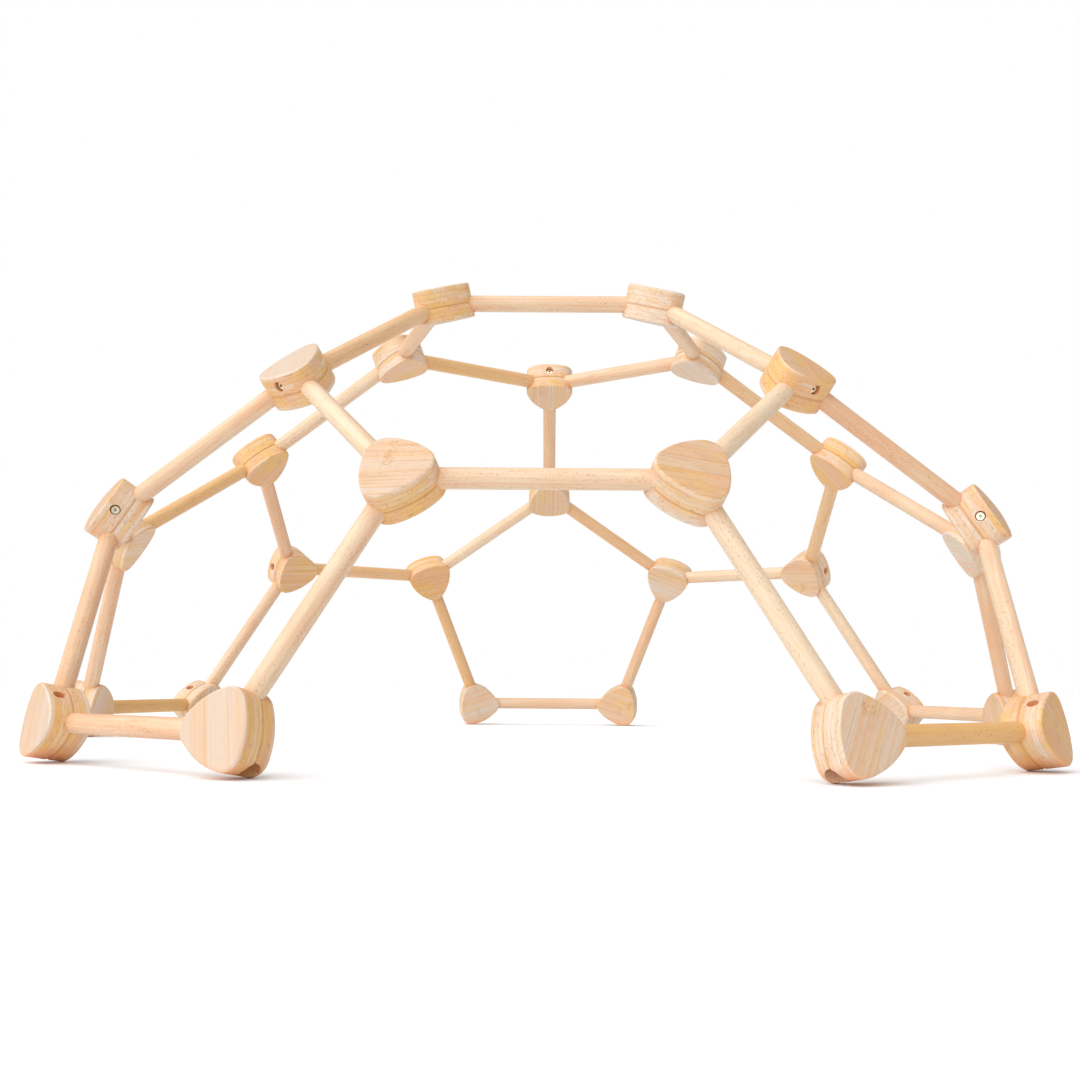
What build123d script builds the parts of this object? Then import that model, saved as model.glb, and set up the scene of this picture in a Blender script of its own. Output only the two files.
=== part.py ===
from build123d import *
from math import acos, asin, cos, degrees, radians, sin, sqrt
import os

# A climbing dome of six wooden pentagon frames.  The frames are centred on six corners of a
# regular icosahedron, the pole and the five round it, so the whole is the upper half of a
# truncated icosahedron.  Each frame is five hubs and five dowels glued into a ring.  Ten more
# dowels link the frames, on the middle thirds of the icosahedron's edges, and are bolted at
# both ends through the hubs.  Each bottom hub keeps its third socket empty.
# Axes: +Z up, +X to the right, the open doorway faces -Y.  Origin: on the dome's vertical
# axis, at the height of the ground.  Millimetres.

# Layout
hub_spacing = 330.0             # centre to centre of neighbouring hubs, the same everywhere
wall_angles = {                 # direction from the axis to the middle of each wall frame
    "front_left": 234.0,
    "front_right": 306.0,
    "right": 18.0,
    "back": 90.0,
    "left": 162.0,
}

# Dowels
dowel_diameter = 25.0
dowel_length = 285.0
dowel_end_chamfer = 1.0
glue_gap = 0.1                  # between a dowel and the wall or bottom of its socket

# Hubs: rounded triangles of laminated bamboo, two boards glued face to face
outer_board_thickness = 30.0
inner_board_thickness = 22.0
hub_face_height = 23.0          # outer face above the point where the three socket axes meet
hub_side_distance = 39.0        # that point to the middle of each bowed side
hub_side_radius = 93.0
hub_corner_radius = 22.5
hub_edge_rounding = 3.0
joint_groove_depth = 1.0        # the boards' edges are eased where they meet
joint_groove_side = 2.5         # half the width of the groove that this leaves

# Link bolts: long furniture bolts with a thin wide head and a hexagon socket
bolt_head_diameter = 12.4
bolt_head_height = 3.0
bolt_head_rounding = 0.8
bolt_key_width = 4.0            # across the flats of the hexagon
bolt_key_depth = 2.0
bolt_shank_diameter = 5.9
bolt_shank_length = 80.0
bolt_tip_chamfer = 0.8
bolt_seat_distance = 32.0       # hub centre to the face the head bears on
bolt_recess_diameter = 14.0
bolt_hole_diameter = 6.6
bolt_tip_room = 2.0             # drilled past the tip of the bolt

# Threaded inserts in the ends of the link dowels
insert_diameter = 10.0
insert_bore_diameter = 6.0
insert_length = 18.0
insert_setback = 0.5            # below the dowel's end
insert_hole_diameter = 10.1

# Worked out from the above
drill_past = 20.0               # how far a drilled hole runs out past the surface
socket_diameter = dowel_diameter + 2 * glue_gap
dowel_start = (hub_spacing - dowel_length) / 2      # hub centre to the dowel's end
socket_bottom = dowel_start - glue_gap
icosahedron_edge = 3 * hub_spacing
icosahedron_radius = icosahedron_edge * sin(radians(72))
ring_radius = 2 * icosahedron_radius / sqrt(5)      # the five corners round the pole
ring_height = icosahedron_radius / sqrt(5)
sphere_radius = hub_spacing / 4 * sqrt(58 + 18 * sqrt(5))

# Each dowel dips below the plane of its hub by this angle, as a chord of the sphere does.
dip = asin(hub_spacing / (2 * sphere_radius))
# Seen square on, the two ring sockets are turned this far from the link socket, because
# neighbouring dowels of a hexagon meet at 120 degrees.
ring_turn = degrees(acos((cos(radians(120)) - sin(dip) ** 2) / cos(dip) ** 2))


def socket_plane(turn, distance):
    """Plane square to a socket's axis, at a distance from the hub's centre."""
    axis = Vector(
        cos(radians(turn)) * cos(dip),
        sin(radians(turn)) * cos(dip),
        -sin(dip),
    )
    return Plane(origin=axis * distance, z_dir=axis)


# The hub, in its own frame: Z outwards from the dome, X towards the link socket.
joint_height = hub_face_height - outer_board_thickness
with BuildSketch(Plane.XY.offset(joint_height)) as outline:
    disc_offset = hub_side_radius - hub_side_distance
    for side_turn, mode in (
        (180, Mode.ADD),
        (ring_turn / 2, Mode.INTERSECT),
        (-ring_turn / 2, Mode.INTERSECT),
    ):
        disc_x = -disc_offset * cos(radians(side_turn))
        disc_y = -disc_offset * sin(radians(side_turn))
        with Locations((disc_x, disc_y)):
            Circle(hub_side_radius, mode=mode)
    fillet(outline.vertices(), radius=hub_corner_radius)


def board(height):
    """One of a hub's two boards: from the joint between them, up or down to its own face."""
    with BuildPart() as blank:
        add(outline.sketch)
        extrude(amount=height)
        joint_face, rim_face = blank.faces().filter_by(Axis.Z).sort_by(Axis.Z, reverse=height < 0)
        fillet(rim_face.edges(), radius=hub_edge_rounding)
        chamfer(joint_face.edges(), joint_groove_depth, joint_groove_side, reference=joint_face)
    return blank.part


with BuildPart() as hub_shape:
    add(board(outer_board_thickness))
    add(board(-inner_board_thickness))
    # Three dowel sockets
    for turn in (0, ring_turn, -ring_turn):
        with BuildSketch(socket_plane(turn, socket_bottom)):
            Circle(socket_diameter / 2)
        extrude(amount=hub_side_distance + drill_past, mode=Mode.SUBTRACT)
    # Bolt hole in line with the link socket, and the recess for the bolt's head
    with BuildSketch(socket_plane(0, -bolt_seat_distance)):
        Circle(bolt_hole_diameter / 2)
    extrude(amount=bolt_seat_distance + socket_bottom, mode=Mode.SUBTRACT)
    with BuildSketch(socket_plane(0, -bolt_seat_distance)):
        Circle(bolt_recess_diameter / 2)
    extrude(amount=-drill_past, mode=Mode.SUBTRACT)

# The parts below lie along Z, with the centre of their hub at the origin.
with BuildPart() as ring_dowel:
    with BuildSketch(Plane.XY.offset(dowel_start)):
        Circle(dowel_diameter / 2)
    extrude(amount=dowel_length)
    chamfer(ring_dowel.edges().filter_by(GeomType.CIRCLE), length=dowel_end_chamfer)

with BuildPart() as link_dowel:
    add(ring_dowel.part)
    bolt_depth = bolt_shank_length - bolt_seat_distance - dowel_start + bolt_tip_room
    for end, inwards in ((dowel_start, 1), (dowel_start + dowel_length, -1)):
        with BuildSketch(Plane.XY.offset(end)):
            Circle(insert_hole_diameter / 2)
        extrude(amount=inwards * (insert_setback + insert_length), mode=Mode.SUBTRACT)
        with BuildSketch(Plane.XY.offset(end)):
            Circle(bolt_hole_diameter / 2)
        extrude(amount=inwards * bolt_depth, mode=Mode.SUBTRACT)

with BuildPart() as bolt:
    with BuildSketch(Plane.XY.offset(-bolt_seat_distance)):
        Circle(bolt_shank_diameter / 2)
    extrude(amount=bolt_shank_length)
    chamfer(bolt.edges().sort_by(Axis.Z)[-1], length=bolt_tip_chamfer)
    with BuildSketch(Plane.XY.offset(-bolt_seat_distance)):
        Circle(bolt_head_diameter / 2)
    extrude(amount=-bolt_head_height)
    fillet(bolt.edges().sort_by(Axis.Z)[0], radius=bolt_head_rounding)
    with BuildSketch(Plane.XY.offset(-bolt_seat_distance - bolt_head_height)):
        RegularPolygon(radius=bolt_key_width / 2, side_count=6, major_radius=False)
    extrude(amount=bolt_key_depth, mode=Mode.SUBTRACT)

with BuildPart() as insert:
    with BuildSketch(Plane.XY.offset(dowel_start + insert_setback)):
        Circle(insert_diameter / 2)
        Circle(insert_bore_diameter / 2, mode=Mode.SUBTRACT)
    extrude(amount=insert_length)


def corner_at(angle, height):
    """Corner of the icosahedron's upper or lower ring."""
    return Vector(ring_radius * cos(radians(angle)), ring_radius * sin(radians(angle)), height)


def hub_plane(frame_corner, next_corner):
    """A hub is a third of the way along an edge, and its link socket points along the edge."""
    edge = next_corner - frame_corner
    centre = frame_corner + edge * (1 / 3)
    outwards = centre.normalized()
    across = edge - outwards * edge.dot(outwards)
    return Plane(origin=centre, x_dir=across.normalized(), z_dir=outwards)


def axis_plane(start_name, end_name):
    """Plane at one hub's centre, square to the line to another."""
    start = hub_planes[start_name].origin
    end = hub_planes[end_name].origin
    return Plane(origin=start, z_dir=(end - start).normalized())


def save(name, shape, planes):
    """Write one named piece, or a group of equal ones, each at its own plane."""
    with BuildPart(*planes) as placed:
        add(shape)
    placed.part.label = name
    export_step(placed.part, f"parts/{name}.step")


# Corners of the icosahedron, from its centre.  A lower corner is below and to the left of the
# wall frame with the same index, and left and right are as seen from outside the dome.
walls = list(wall_angles)
pole = Vector(0, 0, icosahedron_radius)
upper = [corner_at(wall_angles[wall], ring_height) for wall in walls]
lower = [corner_at(wall_angles[wall] - 36, -ring_height) for wall in walls]

hub_planes = {}
for k, wall in enumerate(walls):
    right_of = (k + 1) % len(walls)
    left_of = (k - 1) % len(walls)
    hub_planes[f"{wall}_crown_hub"] = hub_plane(pole, upper[k])
    hub_planes[f"{wall}_shoulder_hub"] = hub_plane(upper[k], pole)
    hub_planes[f"{wall}_waist_hub_left"] = hub_plane(upper[k], upper[left_of])
    hub_planes[f"{wall}_waist_hub_right"] = hub_plane(upper[k], upper[right_of])
    hub_planes[f"{wall}_base_hub_left"] = hub_plane(upper[k], lower[k])
    hub_planes[f"{wall}_base_hub_right"] = hub_plane(upper[k], lower[right_of])

# Lift everything so that the lowest point of the bottom hubs is on the ground.
with BuildPart(hub_planes["back_base_hub_left"]) as lowest_hub:
    add(hub_shape.part)
centre_height = -lowest_hub.part.bounding_box().min.Z
for plane in hub_planes.values():
    plane.origin += Vector(0, 0, centre_height)

os.makedirs("parts", exist_ok=True)

for name, plane in hub_planes.items():
    save(name, hub_shape.part, [plane])

# Glued dowels, five in each frame.
crown_axes = [
    axis_plane(f"{wall}_crown_hub", f"{walls[k - 1]}_crown_hub") for k, wall in enumerate(walls)
]
save("crown_rails", ring_dowel.part, crown_axes)
for wall in walls:
    rafter_axes = [
        axis_plane(f"{wall}_shoulder_hub", f"{wall}_waist_hub_{side}") for side in ("left", "right")
    ]
    leg_axes = [
        axis_plane(f"{wall}_waist_hub_{side}", f"{wall}_base_hub_{side}") for side in ("left", "right")
    ]
    base_axis = axis_plane(f"{wall}_base_hub_left", f"{wall}_base_hub_right")
    save(f"{wall}_rafters", ring_dowel.part, rafter_axes)
    save(f"{wall}_legs", ring_dowel.part, leg_axes)
    save(f"{wall}_base_rail", ring_dowel.part, [base_axis])

# Link dowels, with a bolt and an insert at both ends: from the crown frame to each wall frame,
# and from each wall frame to the next one on its right.
for level in ("crown", "waist"):
    bolt_axes = []
    for k, wall in enumerate(walls):
        if level == "crown":
            ends = (f"{wall}_crown_hub", f"{wall}_shoulder_hub")
        else:
            ends = (f"{wall}_waist_hub_right", f"{walls[(k + 1) % len(walls)]}_waist_hub_left")
        link_axis = axis_plane(*ends)
        save(f"{wall}_{level}_link", link_dowel.part, [link_axis])
        bolt_axes.append(link_axis)
        bolt_axes.append(axis_plane(*reversed(ends)))
    save(f"{level}_link_bolts", bolt.part, bolt_axes)
    save(f"{level}_link_inserts", insert.part, bolt_axes)

print("height of the sphere's centre above the ground:", round(centre_height, 3))
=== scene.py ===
import random
from math import pi, radians

import bpy
import numpy as np
from mathutils import Matrix, Vector


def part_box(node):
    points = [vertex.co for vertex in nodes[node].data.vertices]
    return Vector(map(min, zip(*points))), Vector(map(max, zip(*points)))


# Looks for the climbing dome: laminated bamboo hubs, beech dowels and plated steel fastenings.
# Every piece is a CAD node, so this script only adds materials, a floor, light and a camera.
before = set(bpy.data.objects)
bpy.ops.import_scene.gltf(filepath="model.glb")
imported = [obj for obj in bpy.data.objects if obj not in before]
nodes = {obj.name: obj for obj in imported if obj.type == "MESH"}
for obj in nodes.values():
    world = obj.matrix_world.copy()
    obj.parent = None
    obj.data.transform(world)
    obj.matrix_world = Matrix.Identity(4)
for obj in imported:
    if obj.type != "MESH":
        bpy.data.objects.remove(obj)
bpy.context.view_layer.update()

WALLS = ("front_left", "front_right", "right", "back", "left")
SIDES = ("left", "right")
MM = 0.001

# Laminated bamboo, in millimetres
PLY = 7.5                   # thickness of one layer of strips
STRIP = 19.0                # width of one strip
HUB_THICKNESS = 52.0
OUTER_BOARD = 30.0          # outer face of a hub to the joint between its two boards
NODE_SPACING = 210.0        # between the knuckles along a strip

# Reach of the painted shade in the crevices of the wood and of the steel, in millimetres
WOOD_SHADE_REACH = 24
STEEL_SHADE_REACH = 3

# Strength of the relief, and the thin clear lacquer on all the wood
WOOD_RELIEF = 0.6
STEEL_RELIEF = 0.25
LACQUER = {"IOR": 1.48, "Specular IOR Level": 0.3, "Coat Weight": 0.12, "Coat Roughness": 0.28}

# Light: the surround is seen as full white but lights less, and the key is wide, in degrees
SURROUND = 0.55
KEY_STRENGTH = 3.3
KEY_ANGLE = 100
KEY_DIRECTION = (-0.60, -0.55, 0.85)

FLOOR_REACH = 8.0           # in metres, from the middle to each side

# Camera, in metres and radians: two metres from the dome's middle, low down, looking slightly up
CAMERA_PLACE = (0.0111, -2.008, 0.108)
CAMERA_TURN = 0.0118
CAMERA_PITCH = pi / 2 + 0.1145
CAMERA_ROLL = 0.0088
SENSOR_WIDTH = 36.0
LENS = 39.9

# Colours of the wood itself, without any light on it, and a painted shade for its crevices
BAMBOO_PALE = (0.645, 0.565, 0.475, 1)
BAMBOO_CREAM = (0.69, 0.55, 0.425, 1)
BAMBOO_GOLD = (0.71, 0.43, 0.155, 1)
BAMBOO_ROSE = (0.70, 0.405, 0.215, 1)
BAMBOO_FIBRE = (0.46, 0.22, 0.055, 1)
BAMBOO_GLUE = (0.42, 0.17, 0.04, 1)
BAMBOO_MARK = (0.22, 0.08, 0.02, 1)
BEECH_PALE = (0.70, 0.55, 0.385, 1)
BEECH_PINK = (0.67, 0.395, 0.235, 1)
BEECH_GOLD = (0.67, 0.39, 0.145, 1)
BEECH_FLECK = (0.36, 0.15, 0.07, 1)
# Painted shade: a warm dark tint where the wood is hidden, in sockets and where dowels meet hubs
CREVICE_SHADE = (0.80, 0.31, 0.105, 1)

# Other colours, with a roughness for each of the two steels
BOLT_STEEL = (0.95, 0.86, 0.66), 0.22
INSERT_STEEL = (0.75, 0.70, 0.56), 0.28
# Painted shade for the steel where it lies in hollows, such as a bolt head's key socket
STEEL_PAINTED_SHADE = (0.09, 0.055, 0.035, 1)
PAPER = ((0.90, 0.91, 0.93, 1), (0.92, 0.93, 0.95, 1))

# How tan a hub's outer face is, how tan its edges are, and how strong its figure is, from 0 to 1,
# and the angle from its link socket to its grain, in degrees. Other hubs get theirs at random.
HUB_LOOKS = {
    "front_left_waist_hub_right": (0.34, 1.00, 0.8, -7),
    "front_right_waist_hub_left": (0.60, 0.35, 0.9, -3),
    "front_left_base_hub_right": (0.17, 0.95, 0.3, -20),
    "front_right_base_hub_left": (0.32, 0.20, 0.7, 4),
    "front_left_base_hub_left": (0.18, 0.60, 0.4, 30),
    "front_right_base_hub_right": (1.00, 0.60, 0.7, 12),
    "front_left_shoulder_hub": (0.00, 0.85, 0.25, 35),
    "front_right_shoulder_hub": (0.80, 1.00, 0.6, -12),
    "front_left_crown_hub": (0.45, 0.95, 0.6, 66),
    "front_right_crown_hub": (0.12, 0.10, 0.6, -66),
    "back_waist_hub_right": (0.95, 1.00, 0.8, -24),
    "back_waist_hub_left": (0.45, 0.45, 0.7, 28),
    "back_base_hub_right": (0.40, 0.30, 0.6, 40),
    "back_base_hub_left": (0.60, 0.40, 0.6, -40),
    "left_waist_hub_left": (0.95, 0.70, 0.7, 0),
    "right_waist_hub_right": (0.55, 0.45, 0.7, 0),
    "back_crown_hub": (0.60, 0.50, 0.7, 0),
    "back_shoulder_hub": (0.66, 0.55, 0.7, 3),
    "left_shoulder_hub": (1.00, 0.85, 0.6, 5),
    "right_shoulder_hub": (1.00, 0.85, 0.6, -6),
}

# How pink and how golden each dowel of a node is, about from 0 to 1
DOWEL_LOOKS = {
    "crown_rails": ((0.45, 0.0), (0.5, 0.1), (0.55, 0.0), (0.5, 0.75), (0.5, 0.2)),
    "front_left_rafters": ((0.45, 0.0), (0.2, 0.0)),
    "front_left_legs": ((0.85, 0.0), (0.45, 0.0)),
    "front_left_base_rail": ((0.75, 0.0),),
    "front_left_crown_link": ((0.5, 0.4),),
    "front_left_waist_link": ((0.35, 0.0),),
    "front_right_rafters": ((0.0, 0.0), (0.8, 0.05)),
    "front_right_legs": ((-0.15, 0.0), (0.4, 0.0)),
    "front_right_base_rail": ((0.5, 1.0),),
    "front_right_crown_link": ((0.15, 0.0),),
    "front_right_waist_link": ((0.5, 0.2),),
    "right_rafters": ((0.55, 0.0), (0.5, 0.5)),
    "right_legs": ((0.8, 0.1), (0.15, 0.0)),
    "right_base_rail": ((0.4, 0.0),),
    "right_crown_link": ((0.5, 0.4),),
    "right_waist_link": ((0.3, 0.0),),
    "back_rafters": ((0.8, 0.4), (0.15, 0.0)),
    "back_legs": ((0.8, 0.1), (0.75, 0.65)),
    "back_base_rail": ((0.5, 0.0),),
    "back_crown_link": ((0.75, 0.15),),
    "back_waist_link": ((0.65, 0.55),),
    "left_rafters": ((0.85, 0.05), (0.4, 0.8)),
    "left_legs": ((0.45, 0.0), (0.75, 0.0)),
    "left_base_rail": ((0.6, 1.0),),
    "left_crown_link": ((0.25, 0.0),),
    "left_waist_link": ((0.5, 0.2),),
}


class Tree:
    """A node tree, with short calls that add a node and return its first output."""

    def __init__(self, tree):
        self.tree = tree

    def node(self, kind, inputs=(), **settings):
        """Adds a node. Inputs are (name or index, value or socket) pairs."""
        made = self.tree.nodes.new(kind)
        for name, value in settings.items():
            setattr(made, name, value)
        for key, value in inputs:
            if isinstance(value, bpy.types.NodeSocket):
                self.tree.links.new(value, made.inputs[key])
            else:
                made.inputs[key].default_value = value
        return made

    def math(self, operation, *values, clamp=False):
        made = self.node("ShaderNodeMath", enumerate(values), operation=operation, use_clamp=clamp)
        return made.outputs[0]

    def plus(self, first, second, clamp=False):
        return self.math("ADD", first, second, clamp=clamp)

    def times(self, first, second, clamp=False):
        return self.math("MULTIPLY", first, second, clamp=clamp)

    def scaled(self, value, factor, offset):
        return self.math("MULTIPLY_ADD", value, factor, offset)

    def smooth(self, value, low, high, at_low=0.0, at_high=1.0):
        """at_low up to low, at_high from high on, and a smooth step between."""
        pairs = enumerate((value, low, high, at_low, at_high))
        return self.node("ShaderNodeMapRange", pairs, interpolation_type="SMOOTHSTEP").outputs[0]

    def vector(self, x, y, z):
        return self.node("ShaderNodeCombineXYZ", enumerate((x, y, z))).outputs[0]

    def noise(self, vector, scale, detail=2.0, roughness=0.5):
        pairs = (("Vector", vector), ("Scale", scale), ("Detail", detail), ("Roughness", roughness))
        return self.node("ShaderNodeTexNoise", pairs).outputs["Fac"]

    def random(self, vector):
        """A random colour for each whole-numbered vector, as its three channels."""
        colour = self.node("ShaderNodeTexWhiteNoise", (("Vector", vector),)).outputs["Color"]
        return self.node("ShaderNodeSeparateColor", ((0, colour),)).outputs

    def mix(self, amount, first, second):
        """A mix of two colours."""
        pairs = ((0, amount), (6, first), (7, second))
        return self.node("ShaderNodeMix", pairs, data_type="RGBA").outputs[2]

    def mix_value(self, amount, first, second):
        """A mix of two numbers."""
        return self.node("ShaderNodeMix", ((0, amount), (2, first), (3, second))).outputs[0]

    def openness(self, distance):
        """How open the surface is, from 0 deep in a crevice to 1, within a distance in metres."""
        pairs = (("Distance", distance),)
        return self.node("ShaderNodeAmbientOcclusion", pairs, samples=2).outputs["AO"]

    def bump(self, strength, distance, height):
        pairs = (("Strength", strength), ("Distance", distance), ("Height", height))
        return self.node("ShaderNodeBump", pairs).outputs[0]

    def surface(self, values):
        """Ends a material in a Principled shader."""
        shader = self.node("ShaderNodeBsdfPrincipled", values.items())
        self.node("ShaderNodeOutputMaterial", (("Surface", shader.outputs[0]),))

    def give(self, colour, roughness, height):
        """Ends a group of new_group."""
        given = {"Color": colour, "Roughness": roughness, "Height": height}
        self.node("NodeGroupOutput", given.items())


def new_group(name, numbers):
    """A shader group that takes a place in millimetres and gives colour, roughness and height."""
    group = bpy.data.node_groups.new(name, "ShaderNodeTree")
    sockets = [("Vector", "INPUT", "Vector"), ("Color", "OUTPUT", "Color")]
    sockets += [(number, "INPUT", "Float") for number in ("Seed", *numbers)]
    sockets += [(number, "OUTPUT", "Float") for number in ("Roughness", "Height")]
    for socket, side, kind in sockets:
        group.interface.new_socket(socket, in_out=side, socket_type=f"NodeSocket{kind}")
    tree = Tree(group)
    return group, tree, tree.node("NodeGroupInput").outputs


def new_material(name):
    material = bpy.data.materials.new(name)
    material.use_nodes = True
    material.node_tree.nodes.clear()
    return material, Tree(material.node_tree)


def bamboo_group():
    """Laminated bamboo: X along the fibres, Z out of the board, and Z = 0 on the outer face."""
    group, t, given = new_group("laminated_bamboo", ("Face Tan", "Edge Tan", "Figure"))
    x, y, z = t.node("ShaderNodeSeparateXYZ", ((0, given["Vector"]),)).outputs
    seed = given["Seed"]

    # Each layer's strips are shifted sideways, and each layer and strip has a tone of its own.
    layer = t.math("FLOOR", t.math("DIVIDE", z, PLY))
    layer_shift, layer_tone = t.random(t.vector(layer, seed, 0.0))[:2]
    shifted = t.plus(y, t.times(layer_shift, STRIP))
    strip = t.math("FLOOR", t.math("DIVIDE", shifted, STRIP))
    tone, knuckle_place, knuckle_size = t.random(t.vector(strip, layer, seed))[:3]

    # Fibres: on a face they lie side by side, and at the edges they show as lines along the layers.
    on_outer = t.smooth(z, -3.0, -1.0)
    on_inner = t.smooth(z, 1.0 - HUB_THICKNESS, 3.0 - HUB_THICKNESS, 1.0, 0.0)
    on_face = t.math("MAXIMUM", on_outer, on_inner)
    across = t.plus(y, t.times(tone, 37.0))
    face_place = t.vector(t.times(x, 0.022), across, t.plus(layer, seed))
    round_edge = t.vector(t.times(x, 0.03), t.times(across, 0.06), z)
    face_lines = t.noise(face_place, 0.40, 3.0, 0.6)
    edge_lines = t.noise(round_edge, 0.75, 3.0, 0.6)
    lines = t.mix_value(on_face, edge_lines, face_lines)
    streaks = t.mix_value(on_face, t.noise(round_edge, 0.2), t.noise(face_place, 0.16))
    bundles = t.noise(t.vector(t.times(x, 0.11), across, layer), 0.95, 2.0, 0.55)
    bundles = t.times(t.smooth(bundles, 0.59, 0.67, 0.0, 0.6), on_face)
    cloud = t.noise(given["Vector"], 0.025, 1.0)

    # Tone of the wood
    tan = t.mix_value(on_face, given["Edge Tan"], given["Face Tan"])
    change = t.mix_value(on_face, t.scaled(layer_tone, 0.8, -0.40), 0.0)
    tan = t.plus(tan, change)
    contrast = t.mix_value(on_face, 0.5, 0.45)
    tan = t.plus(tan, t.times(t.math("SUBTRACT", tone, 0.5), contrast))
    tan = t.plus(tan, t.scaled(streaks, 1.5, -0.75), clamp=True)
    tan_wood = t.mix(t.smooth(cloud, 0.38, 0.62), BAMBOO_GOLD, BAMBOO_ROSE)
    colour = t.mix(tan, t.mix(on_face, BAMBOO_CREAM, BAMBOO_PALE), tan_wood)
    figure = t.mix_value(on_face, 0.6, given["Figure"])
    fibres = t.math("MAXIMUM", t.smooth(lines, 0.50, 0.64, 0.0, 0.55), bundles)
    colour = t.mix(t.times(fibres, figure), colour, BAMBOO_FIBRE)

    # Dark marks where knuckles come out at the edges
    short = t.vector(t.times(x, 0.12), t.times(across, 0.14), z)
    marks = t.smooth(t.noise(short, 0.9, 1.0), 0.665, 0.72, 0.0, 0.65)
    marks = t.times(marks, t.math("SUBTRACT", 1.0, on_face))
    colour = t.mix(marks, colour, BAMBOO_MARK)

    # Knuckles: a band across the strip in which the bundles are broken up and darker.
    wander = t.noise(t.vector(0.0, across, layer), 0.16, 1.0)
    middle = t.scaled(knuckle_place, NODE_SPACING, -NODE_SPACING / 2)
    from_middle = t.math("SUBTRACT", x, t.scaled(wander, 14.0, middle))
    near = t.smooth(t.math("ABSOLUTE", from_middle), 2.0, 8.0, 1.0, 0.0)
    dashes = t.noise(t.vector(t.times(x, 0.35), across, layer), 0.7, 2.0, 0.65)
    knuckle = t.times(near, t.smooth(dashes, 0.47, 0.58))
    knuckle = t.times(knuckle, t.smooth(knuckle_size, 0.3, 0.6, 0.0, 0.9))
    knuckle = t.times(knuckle, t.times(on_face, given["Figure"]))
    colour = t.mix(knuckle, colour, BAMBOO_FIBRE)

    # Glue lines: faint between strips, darker between layers, darkest in the joint of the boards.
    to_strip = t.math("PINGPONG", shifted, STRIP / 2)
    to_layer = t.math("PINGPONG", z, PLY / 2)
    to_joint = t.math("ABSOLUTE", t.plus(z, OUTER_BOARD))
    glue = t.math(
        "MAXIMUM",
        t.smooth(to_strip, 0.05, 0.6, 0.25, 0.0),
        t.smooth(to_layer, 0.10, 0.8, 0.28, 0.0),
    )
    glue = t.math("MAXIMUM", glue, t.smooth(to_joint, 0.3, 2.5, 0.45, 0.0))
    colour = t.mix(glue, colour, BAMBOO_GLUE)

    roughness = t.scaled(lines, 0.22, 0.36)
    height = t.scaled(lines, -0.06, t.times(glue, -0.12))
    height = t.plus(height, t.times(knuckle, -0.05))
    t.give(colour, roughness, height)
    return group


def beech_group():
    """Turned beech: X along the dowel."""
    group, t, given = new_group("turned_beech", ("Pink", "Gold"))
    x, y, z = t.node("ShaderNodeSeparateXYZ", ((0, given["Vector"]),)).outputs
    offset = t.times(given["Seed"], 91.7)

    # Year rings, almost straight along the dowel, and slow changes along its length.
    drift = t.noise(t.vector(t.times(x, 0.10), offset, z), 0.05, 1.0)
    depth = t.plus(y, t.times(drift, 9.0))
    rings = t.noise(t.vector(t.times(x, 0.012), depth, offset), 0.30)
    cloud = t.noise(t.vector(t.times(x, 0.3), y, offset), 0.045)
    moved_z = t.plus(z, offset)
    grain = t.noise(t.vector(t.times(x, 0.03), y, moved_z), 0.9, 3.0, 0.6)
    pink = t.plus(given["Pink"], t.scaled(rings, 2.0, -1.0))
    pink = t.plus(pink, t.scaled(cloud, 1.0, -0.5), clamp=True)
    colour = t.mix(pink, BEECH_PALE, BEECH_PINK)
    gold = t.times(given["Gold"], t.scaled(rings, 0.6, 0.7), clamp=True)
    colour = t.mix(gold, colour, BEECH_GOLD)
    colour = t.mix(t.smooth(grain, 0.48, 0.74, 0.0, 0.30), colour, BEECH_FLECK)

    # Ray flecks: short dark dashes, here and there in rows.
    flecks = t.noise(t.vector(t.times(x, 0.26), y, moved_z), 1.0, 1.0)
    rows = t.noise(t.vector(t.times(x, 0.06), depth, offset), 0.12, 1.0)
    fleck = t.times(t.smooth(flecks, 0.63, 0.70), t.smooth(rows, 0.48, 0.60, 0.12, 0.8))
    colour = t.mix(fleck, colour, BEECH_FLECK)

    roughness = t.scaled(grain, 0.20, 0.38)
    height = t.scaled(grain, -0.04, t.times(fleck, -0.04))
    t.give(colour, roughness, height)
    return group


def placed_material(name, group, origin, axes, values):
    """A wood material whose pattern lies along the given axes from the given origin."""
    material, t = new_material(name)
    mapping = t.node(
        "ShaderNodeMapping",
        (
            ("Vector", t.node("ShaderNodeTexCoord").outputs["Object"]),
            ("Location", origin),
            ("Rotation", Matrix(np.array(axes).T.tolist()).to_euler()),
            ("Scale", (MM, MM, MM)),
        ),
        vector_type="TEXTURE",
    )
    wood = t.node("ShaderNodeGroup", node_tree=group)
    t.tree.links.new(mapping.outputs[0], wood.inputs["Vector"])
    for key, value in values.items():
        wood.inputs[key].default_value = value
    # Painted shade: the wood is tinted warm and dark where little of the surround reaches it
    crevice_shade = t.smooth(t.openness(WOOD_SHADE_REACH * MM), 0.20, 0.78, 0.75, 0.0)
    surface = {
        "Base Color": t.mix(crevice_shade, wood.outputs["Color"], CREVICE_SHADE),
        "Roughness": wood.outputs["Roughness"],
        "Normal": t.bump(WOOD_RELIEF, MM, wood.outputs["Height"]),
    }
    t.surface(surface | LACQUER)
    return material


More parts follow.
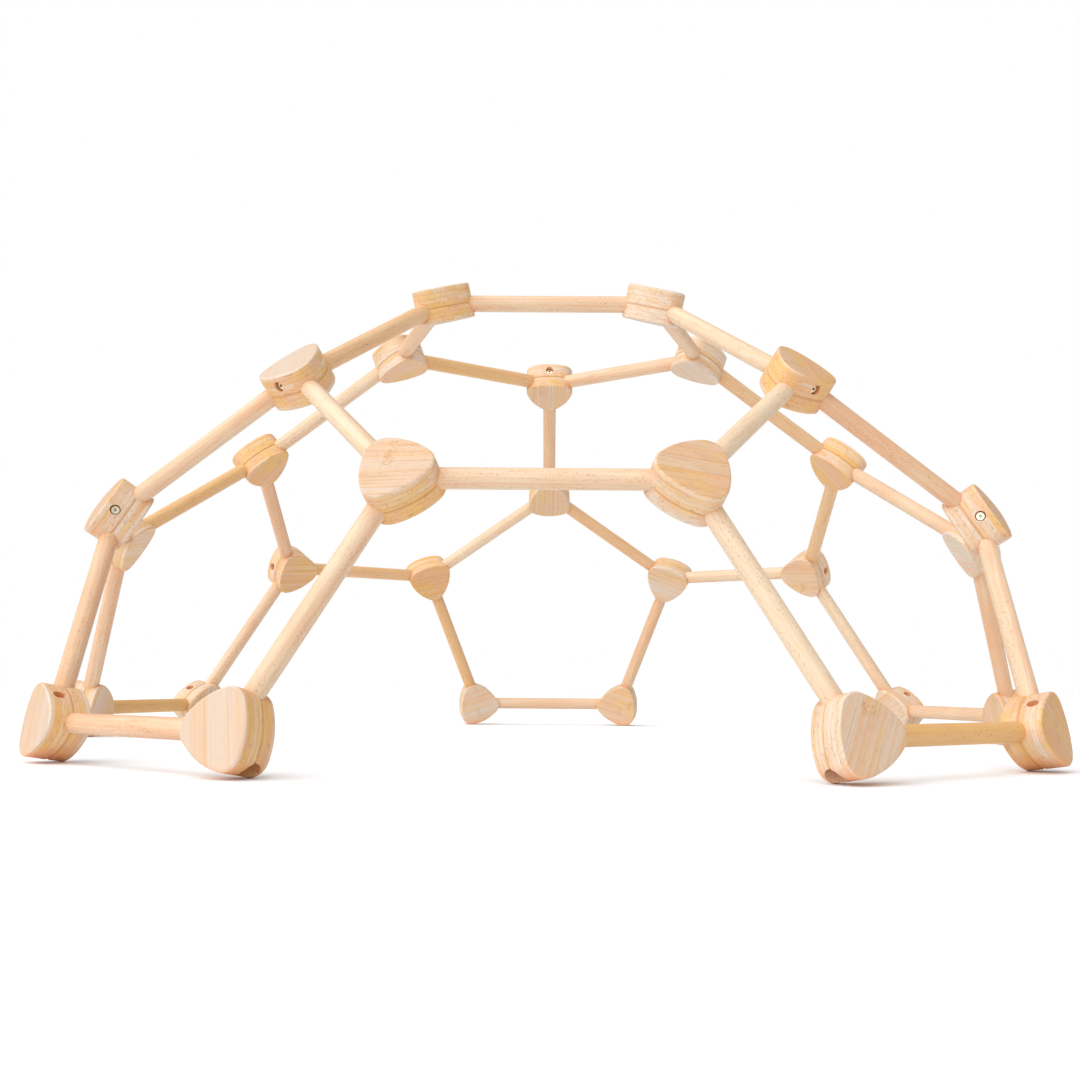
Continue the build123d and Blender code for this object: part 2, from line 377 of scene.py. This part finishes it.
def steel_material(name, colour, roughness):
    """Plated steel with fine turning marks, painted shade in its hollows and small changes in its
    sheen.
    """
    material, t = new_material(name)
    place = t.node("ShaderNodeTexCoord").outputs["Object"]
    marks = t.noise(place, 2600.0)
    tarnish = t.noise(place, 160.0)
    dull = (*(0.72 * channel for channel in colour), 1)
    plated = t.mix(t.smooth(tarnish, 0.4, 0.75, 0.0, 0.6), (*colour, 1), dull)
    # Painted shade: the steel darkens where little of the surround reaches it
    steel_shade = t.smooth(t.openness(STEEL_SHADE_REACH * MM), 0.35, 0.8, 0.9, 0.0)
    surface = {
        "Base Color": t.mix(steel_shade, plated, STEEL_PAINTED_SHADE),
        "Roughness": t.scaled(marks, 0.25, roughness),
        "Metallic": 1.0,
        "Normal": t.bump(STEEL_RELIEF, MM / 20, marks),
    }
    t.surface(surface)
    return material


def vertices_of(node):
    mesh = nodes[node].data
    points = np.empty(len(mesh.vertices) * 3, np.float32)
    mesh.vertices.foreach_get("co", points)
    return points.reshape(-1, 3).astype(float)


def polygons_of(node):
    """The centres, normals and areas of a node's polygons."""
    polygons = nodes[node].data.polygons
    centres = np.empty(len(polygons) * 3, np.float32)
    normals = np.empty(len(polygons) * 3, np.float32)
    areas = np.empty(len(polygons), np.float32)
    polygons.foreach_get("center", centres)
    polygons.foreach_get("normal", normals)
    polygons.foreach_get("area", areas)
    return centres.reshape(-1, 3), normals.reshape(-1, 3), areas


def unit(vector):
    return vector / np.linalg.norm(vector)


def middle_of(node):
    low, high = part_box(node)
    return (np.array(low) + np.array(high)) / 2


def hub_axes(hub, frame_middle, grain):
    """Origin on the hub's outer face, and its grain, cross-grain and outward directions."""
    middle = middle_of(hub)
    _, normals, areas = polygons_of(hub)
    kinds, kind = np.unique(normals.round(2), axis=0, return_inverse=True)
    largest = np.bincount(kind.ravel(), weights=areas).argmax()
    outwards = unit(normals[kind.ravel() == largest].mean(0))
    outwards *= np.sign(outwards @ middle)
    link = middle - frame_middle
    link = unit(link - outwards * (link @ outwards))
    along = link * np.cos(radians(grain)) + np.cross(outwards, link) * np.sin(radians(grain))
    face = (vertices_of(hub) @ outwards).max()
    origin = middle + outwards * (face - middle @ outwards)
    return origin, (along, np.cross(outwards, along), outwards)


def frame_hubs():
    """The five hubs of each pentagon frame."""
    frames = [[f"{wall}_crown_hub" for wall in WALLS]]
    for wall in WALLS:
        pairs = [f"{wall}_{height}_hub_{side}" for height in ("waist", "base") for side in SIDES]
        frames.append([f"{wall}_shoulder_hub", *pairs])
    return frames


def dowel_ends():
    """The pairs of hubs that each dowel node joins, one pair for each dowel."""
    ends = {"crown_rails": []}
    for k, wall in enumerate(WALLS):
        following = WALLS[(k + 1) % len(WALLS)]
        sides = [f"{wall}_waist_hub_{side}" for side in SIDES]
        ends["crown_rails"].append((f"{wall}_crown_hub", f"{following}_crown_hub"))
        ends[f"{wall}_rafters"] = [(f"{wall}_shoulder_hub", side) for side in sides]
        ends[f"{wall}_legs"] = [(side, side.replace("waist", "base")) for side in sides]
        ends[f"{wall}_base_rail"] = [(f"{wall}_base_hub_left", f"{wall}_base_hub_right")]
        ends[f"{wall}_crown_link"] = [(f"{wall}_crown_hub", f"{wall}_shoulder_hub")]
        ends[f"{wall}_waist_link"] = [(sides[1], f"{following}_waist_hub_left")]
    return ends


def dress_hubs(group):
    for hubs in frame_hubs():
        frame_middle = np.mean([middle_of(hub) for hub in hubs], axis=0)
        for hub in hubs:
            looks = *(draw.uniform(0.2, 0.8) for _ in range(3)), draw.uniform(-35, 35)
            face_tan, edge_tan, figure, grain = HUB_LOOKS.get(hub, looks)
            origin, axes = hub_axes(hub, frame_middle, grain)
            values = {
                "Seed": draw.uniform(0, 50),
                "Face Tan": face_tan,
                "Edge Tan": edge_tan,
                "Figure": figure,
            }
            dress(hub, [placed_material(f"bamboo_{hub}", group, origin, axes, values)])


def dress_dowels(group):
    for node, pairs in dowel_ends().items():
        centres, _, _ = polygons_of(node)
        distances = [distance_to_line(centres, middle_of(a), middle_of(b)) for a, b in pairs]
        nearest = np.argmin(distances, axis=0)
        materials = []
        for k, (a, b) in enumerate(pairs):
            points = centres[nearest == k]
            along = unit(middle_of(b) - middle_of(a))
            side = unit(np.cross(along, (0.3, 0.2, 1.0)))
            turn = draw.uniform(0, 2 * pi)
            across = side * np.cos(turn) + np.cross(along, side) * np.sin(turn)
            origin = (points.min(0) + points.max(0)) / 2
            pink, gold = DOWEL_LOOKS[node][k]
            values = {"Seed": draw.uniform(0, 50), "Pink": pink, "Gold": gold}
            axes = (along, across, np.cross(along, across))
            materials.append(placed_material(f"beech_{node}_{k + 1}", group, origin, axes, values))
        dress(node, materials)
        nodes[node].data.polygons.foreach_set("material_index", nearest.astype(np.int32))


def distance_to_line(points, start, end):
    along = unit(end - start)
    across = np.cross(points - start, along)
    return np.linalg.norm(across, axis=1)


def dress(node, materials):
    """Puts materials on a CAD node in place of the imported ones."""
    mesh = nodes[node].data
    mesh.materials.clear()
    for material in materials:
        mesh.materials.append(material)


def make_floor():
    """A wide white studio floor at the height of the ground."""
    corners = [(-1, -1, 0), (1, -1, 0), (1, 1, 0), (-1, 1, 0)]
    corners = [(FLOOR_REACH * x, FLOOR_REACH * y, z) for x, y, z in corners]
    mesh = bpy.data.meshes.new("floor")
    mesh.from_pydata(corners, [], [(0, 1, 2, 3)])
    material, t = new_material("floor_paper")
    tooth = t.noise(t.node("ShaderNodeTexCoord").outputs["Object"], 40.0)
    t.surface({"Base Color": t.mix(tooth, *PAPER), "Roughness": 0.9, "Specular IOR Level": 0.1})
    mesh.materials.append(material)
    in_scene(bpy.data.objects.new("floor", mesh))


def in_scene(made):
    bpy.context.scene.collection.objects.link(made)
    return made


def make_light():
    """A white surround, which lights less than it shows, and a large soft key."""
    world = bpy.data.worlds.new("studio")
    world.use_nodes = True
    t = Tree(world.node_tree)
    background = world.node_tree.nodes["Background"]
    background.inputs["Color"].default_value = (1, 1, 1, 1)
    seen = t.node("ShaderNodeLightPath").outputs["Is Camera Ray"]
    t.tree.links.new(t.mix_value(seen, SURROUND, 1.0), background.inputs["Strength"])
    bpy.context.scene.world = world
    key = bpy.data.lights.new("key", "SUN")
    key.angle = radians(KEY_ANGLE)
    key.energy = KEY_STRENGTH
    lamp = in_scene(bpy.data.objects.new("key", key))
    lamp.rotation_euler = Vector(KEY_DIRECTION).to_track_quat("Z", "Y").to_euler()


def make_camera():
    lens = bpy.data.cameras.new("camera")
    lens.sensor_width = SENSOR_WIDTH
    lens.lens = LENS
    camera = in_scene(bpy.data.objects.new("camera", lens))
    pose = Matrix.Translation(CAMERA_PLACE)
    for angle, axis in ((CAMERA_TURN, "Z"), (CAMERA_PITCH, "X"), (CAMERA_ROLL, "Z")):
        pose = pose @ Matrix.Rotation(angle, 4, axis)
    camera.matrix_world = pose
    bpy.context.scene.camera = camera


draw = random.Random(7)
dress_hubs(bamboo_group())
dress_dowels(beech_group())
bolt_steel = steel_material("bolt_steel", *BOLT_STEEL)
insert_steel = steel_material("insert_steel", *INSERT_STEEL)
for level in ("crown", "waist"):
    dress(f"{level}_link_bolts", [bolt_steel])
    dress(f"{level}_link_inserts", [insert_steel])

make_floor()
make_light()
make_camera()
bpy.context.scene.view_settings.view_transform = "Standard"
